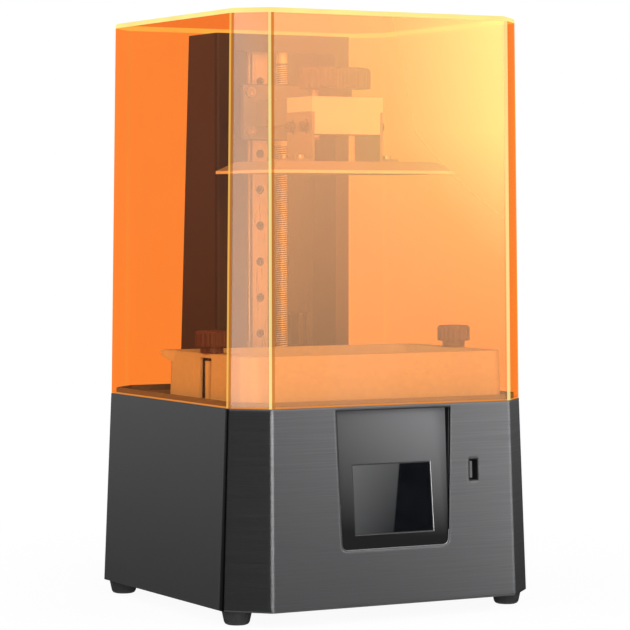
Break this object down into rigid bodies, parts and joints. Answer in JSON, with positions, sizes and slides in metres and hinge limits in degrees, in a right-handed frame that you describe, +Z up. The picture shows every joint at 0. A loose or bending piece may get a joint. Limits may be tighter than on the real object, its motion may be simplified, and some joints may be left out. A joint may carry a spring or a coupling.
{
  "type": "resin printer",
  "caption": "Desktop resin printer with a tapered metal base, a lift-off tinted hood, a resin vat and a build platform on a screw-driven column.",
  "frame": {"origin": "on the floor under the middle of the base, at the bottom of the feet", "axes": "+Z up, the front with the display faces -Y, +X to the viewer's right"},
  "size_m": [0.2294, 0.2294, 0.393],
  "materials": {
    "brushed_case": "horizontally brushed dark grey",
    "painted_case": "satin dark grey paint",
    "rubber": "matt black",
    "dark_screw": "black oxide",
    "bezel_metal": "satin grey",
    "display_glass": "gloss black",
    "black_plastic": "matt black",
    "socket_steel": "ground",
    "mask_glass": "gloss black panel",
    "lens_glass": "clear",
    "reflector": "bright inside",
    "circuit_board": "green lacquer",
    "led_glass": "clear domes",
    "aluminium": "satin natural",
    "bracket_steel": "satin",
    "column_paint": "black satin paint",
    "motor_paint": "black",
    "screw_brass": "turned",
    "vat_plastic": "satin tan grey",
    "film_clear": "clear film",
    "knob_plastic": "satin black",
    "hood_orange": "clear orange acrylic"
  },
  "bodies": {
    "base": {"base_front_panel": "brushed_case", "base_rear_shell": "painted_case", "bottom_plate": "painted_case", "feet": "rubber", "foot_screws": "dark_screw", "deck_plate": "painted_case", "display_bezel": "bezel_metal", "display_glass": "display_glass", "display_module": "black_plastic", "usb_shell": "socket_steel", "usb_tongue": "black_plastic", "mask_lcd": "mask_glass", "light_housing": "reflector", "condenser_lens": "lens_glass", "led_board": "circuit_board", "uv_leds": "led_glass", "heat_sink": "aluminium", "fan_frame": "black_plastic", "mainboard": "circuit_board", "board_standoffs": "aluminium", "board_parts": "black_plastic", "dc_jack": "black_plastic", "switch_frame": "black_plastic", "z_motor": "motor_paint", "motor_screws": "dark_screw", "column_frame": "column_paint", "column_cover": "column_paint", "column_cap": "column_paint", "column_spine": "aluminium", "linear_rail": "socket_steel", "rail_screws": "dark_screw", "top_bearing": "socket_steel", "limit_sensor": "black_plastic", "vat_seats": "column_paint"},
    "hood": {"hood": "hood_orange"},
    "vat": {"vat_body": "vat_plastic", "film_frame": "aluminium", "vat_film": "film_clear", "film_screws": "dark_screw"},
    "thumb_left": {"thumb_screw_left": "knob_plastic"},
    "thumb_right": {"thumb_screw_right": "knob_plastic"},
    "carriage": {"rail_block": "socket_steel", "carriage_plate": "column_paint", "lead_nut": "screw_brass", "limit_flag": "bracket_steel", "z_arm": "aluminium", "arm_screws": "dark_screw"},
    "platform": {"build_plate": "aluminium", "platform_bracket_left": "bracket_steel", "platform_bracket_right": "bracket_steel", "bracket_screws": "dark_screw", "levelling_screws": "dark_screw", "platform_block": "aluminium"},
    "platform_knob": {"platform_knob": "knob_plastic"},
    "screw": {"lead_screw": "screw_brass", "shaft_coupling": "aluminium", "motor_shaft": "socket_steel"},
    "fan": {"fan_rotor": "black_plastic"},
    "switch": {"switch_rocker": "black_plastic"}
  },
  "joints": [
    {"name": "hood_lift", "type": "slide", "parent": "base", "child": "hood", "axis": [0, 0, 1], "range_m": [0, 0.26]},
    {"name": "vat_lift", "type": "slide", "parent": "base", "child": "vat", "axis": [0, 0, 1], "range_m": [0, 0.05]},
    {"name": "thumb_left_turn", "type": "hinge", "parent": "vat", "child": "thumb_left", "pos_m": [-0.0928, -0.0325, 0.178], "axis": [0, 0, 1], "range_deg": [0, 720]},
    {"name": "thumb_right_turn", "type": "hinge", "parent": "vat", "child": "thumb_right", "pos_m": [0.0928, -0.0325, 0.178], "axis": [0, 0, 1], "range_deg": [0, 720]},
    {"name": "platform_height", "type": "slide", "parent": "base", "child": "carriage", "axis": [0, 0, 1], "range_m": [-0.1479, 0.012]},
    {"name": "platform_pull", "type": "slide", "parent": "carriage", "child": "platform", "axis": [0, -1, 0], "range_m": [0, 0.028]},
    {"name": "platform_knob_turn", "type": "hinge", "parent": "platform", "child": "platform_knob", "pos_m": [0, -0.0315, 0.35], "axis": [0, 0, 1], "range_deg": [0, 720]},
    {"name": "screw_turn", "type": "hinge", "parent": "base", "child": "screw", "pos_m": [0.00575, 0.055, 0.25], "axis": [0, 0, 1], "range_deg": [-35600, 2900]},
    {"name": "fan_spin", "type": "hinge", "parent": "base", "child": "fan", "pos_m": [0, -0.032, 0.025], "axis": [0, 0, 1], "continuous": true},
    {"name": "switch_rock", "type": "hinge", "parent": "base", "child": "switch", "pos_m": [0.046, 0.10889, 0.05985], "axis": [1, 0, 0], "range_deg": [0, 16]}
  ],
  "couplings": [
    {"joint": "screw_turn", "follows": "platform_height", "rad_per_m": 4188.8}
  ]
}
